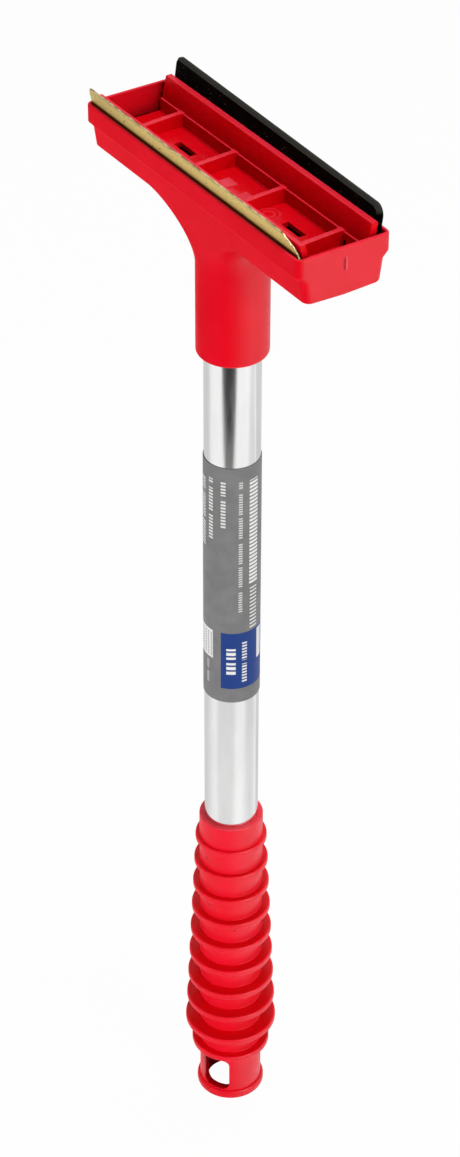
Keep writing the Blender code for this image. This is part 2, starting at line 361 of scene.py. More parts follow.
# %% [markdown]
# ## Masks for painted light, painted shade and marks
# Painted sheen and highlights, painted shade in deep corners and on faces that the light
# misses, and real scars lie at known places, so each tone has a mask: 1 where the tone
# shows and 0 elsewhere. A mask reads the way the surface faces or its place on the piece.
# Most have a soft edge.

# %% Masks
ring_line = 0.22


def normal(finish):
    """X, Y and Z of the way that the surface faces."""
    return split(add_node(finish, "NewGeometry").outputs["Normal"])


def facing(finish, axis, low, high):
    """0 to 1 where the surface turns towards an axis."""
    return ramp(normal(finish)[axis], low, high)


def facing_right_rear(finish, bottom, top):
    """Value that climbs as the surface turns from the blade's side to the right rear."""
    parts = normal(finish)
    both = maths("ADD", parts["X"], parts["Y"])
    return ramp(both, 0.0, 1.1, bottom, top)


def above(finish, height, soft=0.2):
    """0 to 1 where the surface is above a height in millimetres."""
    up = split(place(finish))["Z"]
    return ramp(up, (height - soft) * mm, (height + soft) * mm)


def inside_box(finish, low, high, soft=0.25):
    """1 inside a box between two corners in millimetres, with a soft edge."""
    parts = split(place(finish))
    inside = 1.0
    for axis, start, end in zip("XYZ", low, high):
        for edge, way in ((start, 1), (end, -1)):
            side = ramp(parts[axis], (edge - way * soft) * mm, (edge + way * soft) * mm)
            inside = product(inside, side)
    return inside


def on_circle(across, along, radius, width):
    """1 within a width in millimetres of a circle round the zero of two values."""
    squares = maths("ADD", product(across, across), product(along, along))
    distance = maths("SQRT", squares)
    return maths("COMPARE", distance, radius * mm, width * mm)


def ring_highlight_mask(finish, x, y, radius):
    """1 on a thin ring round a point of the carrier's floor."""
    parts = split(place(finish))
    across = maths("SUBTRACT", parts["X"], x * mm)
    along = maths("SUBTRACT", parts["Y"], y * mm)
    return on_circle(across, along, radius, ring_line)


def along_way(finish, way):
    """How far a place lies along a way from the origin."""
    node = add_node(finish, "VectorMath")
    node.operation = "DOT_PRODUCT"
    node.inputs[1].default_value = way
    feed(place(finish), node.inputs[0])
    return node.outputs["Value"]


def scar(finish, azimuth, height, radius, width):
    """1 on a short arc, or on a dot for radius 0, on the grip's side."""
    turn = math.radians(azimuth)
    side = along_way(finish, (-math.sin(turn), math.cos(turn), 0))
    outward = along_way(finish, (math.cos(turn), math.sin(turn), 0))
    up = maths("SUBTRACT", along_way(finish, (0, 0, 1)), height * mm)
    line = on_circle(side, up, radius, width)
    reach = 0.1 * mm if radius else 1.0
    for step in (side, up):
        line = product(line, maths("LESS_THAN", step, reach))
    return product(line, maths("GREATER_THAN", outward, 0.0))


def near_axis(finish, radius, top, soft=0.5):
    """1 closer to the handle's axis than a radius and below a height, in millimetres."""
    distance = length(place(finish, (1, 1, 0)))
    near = ramp(distance, (radius - soft) * mm, (radius + soft) * mm, 1.0, 0.0)
    return product(near, rest(above(finish, top)))


# %% [markdown]
# ## Red moulded plastic
# The head, the carrier and the grip are injection moulded in one strong red. The mould
# is finely blasted, so the surface has a soft gloss and a very faint grain, and slow
# flow lines change its tone a little. The grip's lines run along it and the head's
# along the blade, so the two get the same recipe with another stretch. Over that lie
# painted sheen and highlights on upper faces and marks, painted shade in deep corners
# and on faces that the light misses, and dark scars.

# %% Red plastic
highlight_red = (0.80, 0.075, 0.110)
sheen_red = (0.80, 0.026, 0.050)
scar_red = (0.30, 0.001, 0.004)
core_shade_red = (0.42, 0.001, 0.004)
deep_shade = (0.004, 0.008, 0.003)
grain_size, grain_depth = 0.45, 0.012
flow_size, wave_size, wave_depth = 3, 5, 0.030
core_top = 20


def red_plastic(name, flow_stretch, red, deep_red, roughness, specular,
                right_specular, tones=(), painted_sheen=None, patches=(), rings=(), scars=(),
                shades=(), shaded_core=None):
    """Soft-gloss red with a slow drift in tone, flow lines and a blasted grain."""
    finish = new_finish(name, roughness, specular=specular)
    drift = ramp(cloud(finish, 14, detail=2), 0.35, 0.65)
    flow = ramp(cloud(finish, flow_size, flow_stretch, detail=4), 0.40, 0.62)
    base = layered(red, (drift, deep_red), (product(flow, 0.35), deep_red))
    # Faces turned one way below a height get painted shade.
    for axis, low, high, tone, height, soft in tones:
        under = rest(above(finish, height, soft))
        face_shade = product(facing(finish, axis, low, high), under)
        base = blend(face_shade, base, tone)
    # Upper faces above a height get a painted sheen.
    if painted_sheen:
        sheen_top = product(facing(finish, "Z", 0.55, 0.95), above(finish, painted_sheen))
        sheen_top = product(sheen_top, ramp(flow, 0.0, 1.0, 0.75, 1.0))
        base = blend(sheen_top, base, sheen_red)
    # Patches are painted sheen and painted highlights.
    for low, high, strength in patches:
        uneven = ramp(flow, 0.0, 1.0, 0.7 * strength, strength)
        patch = product(inside_box(finish, low, high, 0.12), uneven)
        base = blend(patch, base, highlight_red)
    # Rings are painted highlights round the ejector marks.
    for mark in rings:
        base = blend(product(ring_highlight_mask(finish, *mark), 0.45), base, highlight_red)
    for mark in scars:
        base = blend(product(scar(finish, *mark), 0.8), base, scar_red)
    # Shades are painted shade in deep corners and gaps.
    for low, high, strength in shades:
        shade = product(inside_box(finish, low, high), strength)
        base = blend(shade, base, deep_shade)
    sheen = facing_right_rear(finish, specular, right_specular)
    # The core is painted shade inside the grip's neck, and its sheen is taken away.
    if shaded_core:
        core = near_axis(finish, shaded_core, core_top)
        base = blend(core, base, core_shade_red)
        sheen = product(sheen, rest(core))
    grain = relief(cloud(finish, grain_size, detail=4), grain_depth)
    waves = cloud(finish, wave_size, flow_stretch, detail=2)
    gloss = ramp(cloud(finish, 1.8, flow_stretch), 0.3, 0.7,
                 roughness - 0.05, roughness + 0.06)
    dress(finish, Base_Color=base, Roughness=gloss,
          Normal=relief(waves, wave_depth, grain), Specular_IOR_Level=sheen)
    return finish


print("red grain is", grain_size, "mm wide,", grain_depth, "mm deep")

# %% [markdown]
# ## The three reds
# The head's right end has the scar where the plastic was fed in, with a painted highlight
# on one half and painted shade on the other. The carrier's floor has painted sheen on its
# flat mould marks and painted highlights on its two round ejector marks, and its rear
# wall gets painted shade towards the ledge. The grip is a little brighter, with painted
# shade on its ribs' upper faces and inside its neck, a painted highlight on the collar's
# top, and a few small scars. Upper faces above a height get a painted sheen, and deep
# corners painted shade. Boxes have two corners in millimetres and a strength.

# %% Head's red
# Painted shade in the tray's far-end pocket and below the carrier, seen through its slots.
corner_shades = (((-50.6, -11.4, 320.0), (50.6, 11.4, 321.4), 1.0),
                ((-50.6, -11.4, 320.0), (-49.9, 11.4, 322.2), 1.0),
                ((-50.6, 8.5, 322.0), (-49.9, 11.0, 324.9), 1.0),
                ((-50.6, 9.1, 324.9), (-49.9, 11.0, 327.2), 1.0),
                ((-50.6, 9.7, 327.2), (-49.9, 11.0, 330.1), 1.0))
# The gate scar gets a painted highlight on one half and painted shade on the other.
gate_highlight = ((50.9, 0.15, 323.9), (51.6, 0.70, 327.6), 1.0)
gate_shade = ((50.9, -0.45, 323.9), (51.6, 0.10, 327.6), 0.45)
head_red = red_plastic("head_red", (0.25, 1, 1), (0.77, 0.005, 0.019),
                       (0.73, 0.003, 0.013), 0.33, 0.012, 0.34, painted_sheen=329.8,
                       patches=(gate_highlight,),
                       shades=(*corner_shades, gate_shade))
print(head_red.name, "is rubbed pale above 329.8 mm")

# %% Carrier's red
# Painted sheen on the floor's flat marks, painted highlights on the ejector rings, painted
# shade in a hidden corner and painted shade down the rear wall's inner face.
floor_sheen_patches = (((-5.7, -4.0, 323.0), (-1.3, 2.4, 323.7), 0.9),
                 ((-0.6, -4.0, 323.0), (3.0, 0.1, 323.7), 0.35),
                 ((3.3, -4.0, 323.0), (9.9, 2.0, 323.7), 0.8))
ejector_ring_highlights = ((16.3, 0.3, 3.0), (16.3, 0.3, 1.6), (-17.5, 0.3, 3.0))
hidden_corner_shade = ((39.7, 6.9, 323.0), (40.8, 7.9, 324.9), 1.0)
rear_wall_shade = ("Y", -0.80, -0.95, (0.44, 0.001, 0.003), 329.25, 2.75)
carrier_red = red_plastic("carrier_red", (0.2, 1, 1), (0.74, 0.002, 0.010),
                          (0.70, 0.001, 0.006), 0.26, 0.05, 0.05, painted_sheen=325.6,
                          tones=(rear_wall_shade,), patches=floor_sheen_patches,
                          rings=ejector_ring_highlights, shades=(hidden_corner_shade,))
print(carrier_red.name, "has", len(floor_sheen_patches), "rubbed patches")

# %% Grip's red
# Painted shade on the ribs' upper faces and a painted highlight on the collar's top.
rib_top_shade = ("Z", 0.94, 0.99, (0.72, 0.001, 0.005), 120, 1)
collar_top_light = ((-10, -10, 111.15), (10, 10, 112), 0.55)
grip_scars = ((-73.5, 81.0, 1.55, 0.2), (-76.5, 98.4, 1.2, 0.2),
              (-25.8, 71.4, 0.0, 0.4))
grip_red = red_plastic("grip_red", (1, 1, 0.2), (0.86, 0.007, 0.027),
                       (0.83, 0.005, 0.019), 0.36, 0.16, 0.50,
                       tones=(rib_top_shade,), patches=(collar_top_light,),
                       scars=grip_scars, shaded_core=9.1)
print(grip_red.name, "has", len(grip_scars), "scars")

# %% [markdown]
# ## The head's tray
# The head is a shallow tray, 102.8 mm long, with a plain band round the rim. Below the
# band its long sides step in at 45 degrees and then draw in towards the handle, while
# the ends stay straight. A block is the band. Its underside is extruded slice by slice,
# and each slice is pulled in only across the blade. A bevelled template gives the
# slices their rounded step.

# %% Tray
rim = 330.4
tray_half_length, tray_half_width, tray_corner = 51.4, 14.35, 2.2
tray_depth, tray_foot_round, rim_round, crown = 13.4, 0.7, 0.45, 0.5
band_depth, step_depth, lower_half_width = 5.2, 6.85, 12.7
band_overlap, wall_slices = 0.3, (8.2, 9.6, 11, 12.2)
socket_radius, flare_foot = 10.15, 28.4


def wall_half_width(depth):
    """Half the head's width at a depth below the rim, easing into the socket."""
    share = (flare_foot - depth) / (flare_foot - step_depth)
    return socket_radius + (lower_half_width - socket_radius) * share ** 1.3


foot_half_width = wall_half_width(tray_depth)


def step_slices():
    """Depths and half widths of the rounded step, read from a bevelled template."""
    corners = ((tray_half_width, 0, 0), (tray_half_width, band_depth, 0.35),
               (lower_half_width, step_depth, 0.6),
               (foot_half_width, tray_depth, 0), (0, tray_depth, 0), (0, 0, 0))
    template = rounded_outline(corners, 5)
    slices = sorted((v.co.z, v.co.x) for v in template.verts
                    if band_depth - band_overlap < v.co.z < step_depth + band_overlap)
    template.free()
    return slices


def extrude_foot(bm, foot, depth, half_width):
    """Extrude the foot face down to a depth and pull it in across the blade."""
    now_depth = rim - foot.verts[0].co.z
    now_width = max(vert.co.y for vert in foot.verts)
    made = bmesh.ops.extrude_face_region(bm, geom=[foot])
    bmesh.ops.delete(bm, geom=[foot], context="FACES_ONLY")
    foot = next(i for i in made["geom"] if isinstance(i, bmesh.types.BMFace))
    bmesh.ops.translate(bm, verts=foot.verts, vec=(0, 0, now_depth - depth))
    for vert in foot.verts:
        vert.co.y -= math.copysign(now_width - half_width, vert.co.y)
    return foot


def tray_solid():
    """Outside of the tray, with its step, drafted sides and crowned foot."""
    bm = block(tray_half_length, tray_half_width, rim - band_depth + band_overlap, rim)
    upright = [e for e in bm.edges if abs(e.verts[0].co.z - e.verts[1].co.z) > 1]
    soften(bm, upright, tray_corner, 10)
    foot = min(bm.faces, key=lambda face: face.calc_center_median().z)
    walls = [(depth, wall_half_width(depth)) for depth in (*wall_slices, tray_depth)]
    for depth, half_width in step_slices() + walls:
        foot = extrude_foot(bm, foot, depth, half_width)
    bmesh.ops.recalc_face_normals(bm, faces=bm.faces)
    soften(bm, foot.edges[:], tray_foot_round, 6)
    top = max(bm.faces, key=lambda face: face.calc_center_median().z)
    soften(bm, top.edges[:], rim_round, 5)
    bmesh.ops.bisect_plane(bm, geom=bm.verts[:] + bm.edges[:] + bm.faces[:], dist=0.0001,
                           plane_co=(0, 0, 0), plane_no=(0, 1, 0))
    for vert in bm.verts:
        into_round = rim - vert.co.z - (tray_depth - tray_foot_round)
        if into_round > 0:
            middle = max(0, 1 - abs(vert.co.y) / foot_half_width)
            vert.co.z -= crown * middle * into_round / tray_foot_round
    return bm


print("tray sides draw in to", round(foot_half_width, 2), "mm off the middle")

# %% [markdown]
# ## The neck
# Below the tray the head gathers into a round socket. Seen from the blade's side it is
# two hollow quarter circles, and seen from the end it keeps the tray's draft. Each
# slice starts as a circle whose four quarters are moved apart, so the first slices are
# long and nearly square and the last one is the socket itself. Bridging the rings gives
# one smooth skin. The neck is a hair proud of the tray's wall, so the weld is clean.

# %% Neck
ring_points = 96
flare_radius, flare_steps = 15.5, 26
neck_top, neck_corner, proud = 7.6, 1.6, 0.02
socket_foot, socket_foot_round, socket_foot_steps = 56.6, 1.2, 6


def add_ring(bm, half_x, half_y, corner, depth):
    """Ring of edges: a circle whose four quarters are moved apart."""
    level = (Matrix.Translation((0, 0, rim - depth))
             @ Matrix.Rotation(math.pi / ring_points, 4, "Z"))
    made = bmesh.ops.create_circle(bm, segments=ring_points, radius=corner, matrix=level)
    for vert in made["verts"]:
        vert.co.x += math.copysign(half_x - corner, vert.co.x)
        vert.co.y += math.copysign(half_y - corner, vert.co.y)
    return list({edge for vert in made["verts"] for edge in vert.link_edges})


def skin(slices):
    """Closed solid through slices of half sizes, corner and depth."""
    bm = bmesh.new()
    rings = [add_ring(bm, *each) for each in slices]
    for upper, lower in zip(rings, rings[1:]):
        bmesh.ops.bridge_loops(bm, edges=upper + lower)
    bmesh.ops.holes_fill(bm, edges=bm.edges[:], sides=0)
    bmesh.ops.recalc_face_normals(bm, faces=bm.faces)
    return bm


def neck_solid():
    """Neck from the tray's underside down to the socket's foot."""
    slices = [(socket_radius + flare_radius, wall_half_width(neck_top) + proud,
               neck_corner, neck_top)]
    for step in range(flare_steps + 1):
        angle = math.pi / 2 * (1 - step / flare_steps)
        depth = flare_foot - flare_radius * math.sin(angle)
        half_x = socket_radius + flare_radius * (1 - math.cos(angle))
        half_y = wall_half_width(depth) + proud
        corner = half_y + (neck_corner - half_y) * math.sin(angle) ** 1.5
        slices.append((half_x, half_y, min(corner, half_x), depth))
    for step in range(socket_foot_steps + 1):
        angle = math.pi / 2 * (1 - step / socket_foot_steps)
        radius = socket_radius - socket_foot_round * (1 - math.sin(angle))
        depth = socket_foot - socket_foot_round * (1 - math.cos(angle))
        slices.append((radius, radius, radius, depth))
    return skin(slices)


print("neck:", flare_steps, "slices in the flare,", 2 * socket_radius, "mm socket")

# %% [markdown]
# ## The whole head
# The tray and the neck are welded and then hollowed, as the mould's core does it: a
# straight cavity with a sloped shelf and a narrow well, and the socket's bore. A thin
# lens cut into the right end is the scar of the mould's gate.

# %% Head
wall, shelf_depth, well_depth = 1.1, 4.744, 9.9
mouth_bevel, cavity_corner, cut_overrun = 0.14, 0.4, 1.0
bore_radius, bore_top = 8.3, 16.4
gate_place, gate_half_size = (51.45, -0.15, rim - 4.6), (0.35, 0.42, 1.8)


def hollow_tool():
    """Cutter for the tray's hollow: straight, a sloped shelf, then the narrow well."""
    half_x = tray_half_length - wall
    inner, well = tray_half_width - wall, lower_half_width - wall
    mouth = (half_x + mouth_bevel, inner + mouth_bevel, cavity_corner + mouth_bevel)
    return skin([(*mouth, -cut_overrun), (*mouth, 0.0),
                 (half_x, inner, cavity_corner, mouth_bevel),
                 (half_x, inner, cavity_corner, shelf_depth),
                 (half_x, well, cavity_corner, shelf_depth + inner - well),
                 (half_x, wall_half_width(well_depth) - wall, cavity_corner, well_depth)])


def gate_tool():
    """Thin lens, stretched from a ball."""
    bm = bmesh.new()
    bmesh.ops.create_uvsphere(bm, u_segments=20, v_segments=14, radius=1)
    bmesh.ops.scale(bm, vec=gate_half_size, verts=bm.verts)
    return moved(bm, *gate_place)


bore_tool = rod(bore_radius, rim - socket_foot - 2 * cut_overrun, rim - bore_top,
                ring_points)
head_shape = combined(tray_solid(), neck_solid(), "UNION")
for tool in (hollow_tool(), bore_tool, gate_tool()):
    head_shape = combined(head_shape, tool, "DIFFERENCE")
finish_piece("head", head_shape, head_red, "head_body")

# %% [markdown]
# ## The carrier
# A channel is pressed into the tray and clamps the blade and the rubber with its two
# splayed walls. Its cross section is the same all along, so one rounded outline, given
# by corners across the blade and below the rim, is pushed along the blade.

# %% Carrier's channel
carrier_length, carrier_shift, section_segments = 97.2, 0.6, 4
wall_top, wall_end_round = 2.9, 0.6
channel_corners = (
    (8.18, 9.6, 0), (9.58, 9.6, 0), (11.34, -wall_top, 0.25), (9.44, -wall_top, 0.45),
    (8.10, 3.4, 0.0), (7.55, 3.4, 0.0), (7.55, 7.1, 0.3),
    (-8.45, 7.1, 0.3), (-8.45, 3.4, 0.0), (-9.00, 3.4, 0.0), (-10.74, -wall_top, 0.35),
    (-12.24, -wall_top, 0.25), (-10.04, 9.6, 0), (-8.64, 9.6, 0),
    (-8.64, 8.4, 0), (8.18, 8.4, 0))


def section_solid(corners, start, reach):
    """Cross section through (y, depth, radius) corners, pushed along the blade."""
    bm = rounded_outline([(y, -depth, radius) for y, depth, radius in corners],
                         section_segments)
    bm = moved(turned(bm, 90, "Z"), start, 0, rim)
    return pushed(bm, (reach, 0, 0))


channel = section_solid(channel_corners, carrier_shift - carrier_length / 2,
                        carrier_length)
wall_ends = [e for e in channel.edges if e.calc_length() > 0.8
             and all(v.co.z > rim + wall_top - 0.05 for v in e.verts)
             and abs(e.verts[0].co.x - e.verts[1].co.x) < 0.01]
soften(channel, wall_ends, wall_end_round, 4)
print("channel:", carrier_length, "mm long,", len(channel.faces), "faces")

# %% [markdown]
# ## The carrier's ribs, slots and marks
# Four low ribs are welded across the floor, each with a small pad at the far wall, and
# two slots are cut through it. The mould leaves round ejector marks, each a fine groove
# round a disc, and a few flat marks that stand slightly proud.

# %% Carrier's ribs, slots and marks
floor_top, weld = rim - 7.1, 0.3
rib_corners = ((-8.9, 3.9, 0.3), (8.0, 3.1, 0.3), (8.0, 7.4, 0), (-8.9, 7.4, 0))
rib_width, rib_places = 1.6, (-38.0, -11.6, 11.6, 38.0)
slot_places, slot_half_x, slot_half_y, slot_y = (-25.9, 25.9), 4.1, 1.1, 1.2
ejector_places = ((-17.5, 0.3), (16.3, 0.3))
ejector_radius, groove, groove_depth, disc_points = 3.1, 0.3, 0.14, 40
flat_marks = ((-3.5, -0.7, 2.2, 3.1), (1.2, -1.9, 1.8, 2.0), (6.6, -1.0, 3.3, 3.0))


def shifted_block(x, y, half_x, half_y, low, high):
    """Block beside the handle's axis."""
    return moved(block(half_x, half_y, low, high), x, y, 0)


for x in rib_places:
    rib = section_solid(rib_corners, carrier_shift + x - rib_width / 2, rib_width)
    channel = combined(channel, rib, "UNION")
    pad = shifted_block(carrier_shift + x, 7.6, 1.1, 0.55, rim - 4.2, rim - 3.15)
    channel = combined(channel, pad, "UNION")
for x in slot_places:
    slot = shifted_block(carrier_shift + x, slot_y, slot_half_x, slot_half_y,
                         floor_top - 3, floor_top + 1)
    channel = combined(channel, slot, "DIFFERENCE")
for x, y in ejector_places:
    hollow = rod(ejector_radius, floor_top - groove_depth, floor_top + 1, disc_points)
    channel = combined(channel, moved(hollow, x, y, 0), "DIFFERENCE")
    disc = rod(ejector_radius - groove, floor_top - weld, floor_top - 0.03, disc_points)
    channel = combined(channel, moved(disc, x, y, 0), "UNION")
for x, y, half_x, half_y in flat_marks:
    mark = shifted_block(x, y, half_x, half_y, floor_top - weld, floor_top + 0.08)
    channel = combined(channel, mark, "UNION")
finish_piece("carrier", channel, carrier_red, "blade_carrier")

# %% [markdown]
# ## The brass blade
# The blade is rolled brass sheet with one corner tapered off. Old brass is dull and
# mottled, with small dark pits. Painted shade lies on its foot and in a thin line just
# under the scraping edge, its lower part is painted greener against the red that the
# tray reflects in it, and its upper faces get a broken painted highlight and shade. It
# is a flat outline pushed by its thickness and leaned out by 10 degrees. It is thinner
# than the CAD's plate, because its edge shows as a fine line, and a narrow bevel there
# catches the light.

# %% Brass finish
brass = new_finish("rolled_brass", 0.38, metallic=1.0)
tarnish = ramp(cloud(brass, 9, (0.5, 1, 1), detail=5), 0.35, 0.70)
mottle = ramp(cloud(brass, 0.5, detail=4), 0.42, 0.70)
left_end = ramp(split(place(brass))["X"], -50 * mm, -10 * mm, 0.35, 0.0)
# The lower part is painted greener to cancel the red that the tray reflects in it, and the
# foot gets painted shade.
lower_part = ramp(above(brass, 332.0, 1.1), 0.0, 1.0, 0.8, 0.0)
foot_shade = ramp(above(brass, 331.1, 0.6), 0.0, 1.0, 0.85, 0.0)
pits = ramp(cloud(brass, 0.8, detail=2), 0.67, 0.74)
# A painted shade line just under the scraping edge, broken by noise.
edge_shade_line = product(above(brass, 334.45, 0.1), rest(above(brass, 334.72, 0.1)))
edge_shade_line = product(edge_shade_line, ramp(cloud(brass, 3, (1, 4, 4)), 0.38, 0.55))
# Upper faces get a broken mix of painted shade and painted highlight.
top_light_and_shade = blend(ramp(cloud(brass, 2.5, (1, 4, 4)), 0.40, 0.60),
                 (0.10, 0.06, 0.03), (0.42, 0.34, 0.22))
brass_colour = layered((0.93, 0.765, 0.270),
                       (tarnish, (0.89, 0.73, 0.245)),
                       (product(mottle, 0.65), (0.68, 0.52, 0.150)),
                       (left_end, (0.42, 0.34, 0.12)),
                       (lower_part, (0.74, 0.84, 0.300)),
                       (pits, (0.045, 0.028, 0.010)),
                       (product(edge_shade_line, 0.6), (0.16, 0.11, 0.03)),
                       (foot_shade, (0.16, 0.19, 0.020)),
                       (facing(brass, "Z", 0.35, 0.55), top_light_and_shade))
rolling = relief(cloud(brass, 0.35, (0.06, 1, 1), detail=4), 0.010)
dress(brass, Base_Color=brass_colour,
      Roughness=ramp(cloud(brass, 0.7), 0.3, 0.7, 0.38, 0.48),
      Normal=relief(rest(pits), 0.05, rolling))
print(brass.name, "has pits about 0.8 mm apart")

# %% Brass blade
blade_thickness, blade_lean, blade_bevel, slot_line = 0.45, 10, 0.06, 12.95
blade_end, blade_foot, blade_edge = 50, -5.696, 4.671
blade_outline = ((-blade_end, blade_foot, 0.5), (blade_end, blade_foot, 0.5),
                 (blade_end, 0.771, 4.5), (42.5, blade_edge, 4.5),
                 (-blade_end, blade_edge, 0.8))
blade_shape = pushed(rounded_outline(blade_outline, 8), (0, blade_thickness, 0))
worn_edges = [e for e in blade_shape.edges if all(v.co.z > 0 for v in e.verts)
              and abs(e.verts[0].co.y - e.verts[1].co.y) < 0.01]
soften(blade_shape, worn_edges, blade_bevel, 2)
blade_shape = moved(turned(blade_shape, blade_lean, "X"), 0, -slot_line, rim)
finish_piece("blade", blade_shape, brass, "brass_blade")

# %% [markdown]
# ## The rubber strip
# The wiping strip is cut from black sheet rubber. It stands a little taller at its far
# end, has rounded upper corners and a chamfer along its near edge. Rubber is dark and
# hardly shiny, with fine specks of dust and a faint skin, and its upper faces and
# chamfer get a paler painted sheen.

# %% Rubber finish
rubber = new_finish("sheet_rubber", 0.48, specular=0.01)
skin_tone = ramp(cloud(rubber, 6, (0.4, 1, 1)), 0.35, 0.70)
dust = ramp(cloud(rubber, 0.55, detail=1), 0.745, 0.80)
# Upper faces and the chamfer get a paler painted sheen over the black.
rubber_colour = layered((0.0003, 0.0006, 0.0004),
                        (skin_tone, (0.0012, 0.0016, 0.0012)),
                        (facing(rubber, "Z", 0.25, 0.55), (0.030, 0.029, 0.0245)),
                        (dust, (0.20, 0.20, 0.19)))
dress(rubber, Base_Color=rubber_colour,
      Roughness=ramp(cloud(rubber, 2.5, (0.3, 1, 1)), 0.3, 0.7, 0.42, 0.60),
      Normal=relief(cloud(rubber, 0.35, detail=3), 0.02))
# Its paler upper faces are painted sheen.
print(rubber.name, "is black with paler cut faces")

# %% Rubber strip
strip_thickness, strip_lean, near_chamfer, far_round = 1.7, -8, 0.75, 0.16
strip_left, strip_right, strip_foot = -47.7, 48.6, -5.428
strip_outline = ((strip_left, strip_foot, 0.8), (strip_right, strip_foot, 0.8),
                 (strip_right, 6.160, 3.2), (strip_left, 8.079, 1.9))
strip_shape = pushed(rounded_outline(strip_outline, 10), (0, -strip_thickness, 0))
for face_y, radius, segments in ((0, far_round, 3), (-strip_thickness, near_chamfer, 1)):
    face_edges = [e for e in strip_shape.edges
                  if all(abs(v.co.y - face_y) < 0.1 for v in e.verts)]
    soften(strip_shape, face_edges, radius, segments)
strip_shape = moved(turned(strip_shape, strip_lean, "X"), 0, slot_line, rim)
finish_piece("strip", strip_shape, rubber, "rubber_strip")

# %% [markdown]
# ## The aluminium tube
# The handle is a bright drawn tube, 16 mm across. It is one small profile spun round the
# axis. Drawing the tube through a die leaves very fine lines along it, and handling adds
# faint nicks. Both are kept small, because the real tube mirrors its surroundings.

# %% Aluminium finish and tube
aluminium = new_finish("drawn_aluminium", 0.14, metallic=1.0)
film = ramp(cloud(aluminium, 7, (1, 1, 0.25)), 0.35, 0.70)
nicks = ramp(cloud(aluminium, 0.7, (1, 1, 1.6), detail=1), 0.78, 0.83)
aluminium_colour = layered((0.90, 0.90, 0.895), (film, (0.82, 0.82, 0.82)),
                           (product(nicks, 0.4), (0.55, 0.55, 0.55)))
draw_lines = cloud(aluminium, 0.5, (1, 1, 0.015), detail=3)
dress(aluminium, Base_Color=aluminium_colour,
      Roughness=ramp(cloud(aluminium, 2.0, (1, 1, 0.1)), 0.3, 0.7, 0.11, 0.18),
      Normal=relief(draw_lines, 0.004))


def pipe(inside, outside, low, high, end_round, segments):
    """Spun ring between two radii and two heights, its outer ends rounded."""
    corners = ((inside, low, 0), (outside, low, end_round), (outside, high, end_round),
               (inside, high, 0))
    return spun(rounded_outline(corners, segments))


tube_shape = pipe(inside=7.0, outside=8.0, low=18.75, high=313.7, end_round=0.3,
                  segments=4)
finish_piece("tube", tube_shape, aluminium, "handle_tube")

# %% [markdown]
# ## The printed sleeve
# A thin printed film is wrapped round the tube: grey, with a blue panel, a small white
# panel and rows of pale tick bars along the handle. The film is a spun ring, and its
# print is painted by the angle round the handle and the height along it, so that it
# wraps as the real one does.

# %% Print helpers
ink = new_finish("printed_film", 0.42, specular=0.25)
film_parts = split(place(ink))
angle_round = maths("ARCTAN2", film_parts["Y"], film_parts["X"])
height_up = film_parts["Z"]


def panel(start_angle, end_angle, low, high):
    """1 inside a printed rectangle, given in degrees round and millimetres up."""
    middle = math.radians(start_angle + end_angle) / 2
    reach = math.radians(end_angle - start_angle) / 2
    across = maths("COMPARE", angle_round, middle, reach)
    along = maths("COMPARE", height_up, (low + high) / 2 * mm, (high - low) / 2 * mm)
    return product(across, along)


def dashes(mask, inked, gap, start):
    """Break a bar into dashes along the handle, in millimetres."""
    shifted = maths("SUBTRACT", height_up, start * mm)
    turn = maths("WRAP", shifted, (inked + gap) * mm, 0.0)
    return product(mask, maths("LESS_THAN", turn, inked * mm))


print("print is painted on", ink.name)

# %% Print
group_gap = 1.2
blue_panel = panel(-55.6, 75, 164.0, 183.9)
white_panel = panel(-135, -74.2, 173.8, 183.8)
white_panel_rows = range(-128, -78, 8)
bars = (
    # start and end angle, low and high, group, tick, gap and strength
    (3, 26, 200.5, 235.8, 35.3, 0.80, 0.45, 0.92),
    (5, 24, 184.8, 199.0, 15.0, 0.50, 0.75, 0.88),
    (-20, -12, 191.4, 235.8, 7.2, 0.45, 0.35, 0.70),
    (-56, -46, 220.5, 235.9, 9.5, 0.60, 0.45, 0.85),
    (-85, -74, 215.7, 236.0, 8.0, 0.60, 0.45, 0.85),
    (-114, -97, 212.0, 235.0, 8.0, 0.60, 0.45, 0.80),
    (-12, -1, 166.2, 181.1, 6.6, 0.60, 0.45, 0.88),
    (-44, -25, 169.2, 178.4, 4.2, 1.10, 0.60, 0.95),
    (-92, -85, 164.5, 172.6, 3.6, 0.35, 0.30, 0.60),
    (26, 44, 172.5, 183.2, 12, 12, 0.5, 0.90),
)
grey = blend(ramp(cloud(ink, 5), 0.35, 0.7),
             (0.172, 0.172, 0.173), (0.202, 0.202, 0.201))
print_colour = layered(grey, (blue_panel, (0.007, 0.040, 0.215)),
                       (white_panel, (0.80, 0.80, 0.78)))
for start_angle in white_panel_rows:
    mask = dashes(panel(start_angle, start_angle + 3, 174.6, 183.0), 0.55, 0.3, 174.6)
    print_colour = blend(mask, print_colour, (0.30, 0.30, 0.30))
for start_angle, end_angle, low, high, group, tick, gap, strength in bars:
    mask = dashes(panel(start_angle, end_angle, low, high), group, group_gap, low)
    mask = product(dashes(mask, tick, gap, low), strength)
    print_colour = blend(mask, print_colour, (0.83, 0.83, 0.80))
creases = relief(cloud(ink, 9, (1, 1, 0.4), detail=1), 0.05)
dress(ink, Base_Color=print_colour,
      Roughness=ramp(cloud(ink, 4), 0.3, 0.7, 0.38, 0.50),
      Normal=relief(cloud(ink, 0.5, detail=2), 0.004, creases))
print("print:", len(bars), "tick bars,", len(white_panel_rows), "rows on the white panel")

# %% Sleeve
sleeve_shape = pipe(inside=8.02, outside=8.25, low=159.0, high=240.4, end_round=0.05,
                    segments=3)
finish_piece("sleeve", sleeve_shape, ink, "printed_sleeve")

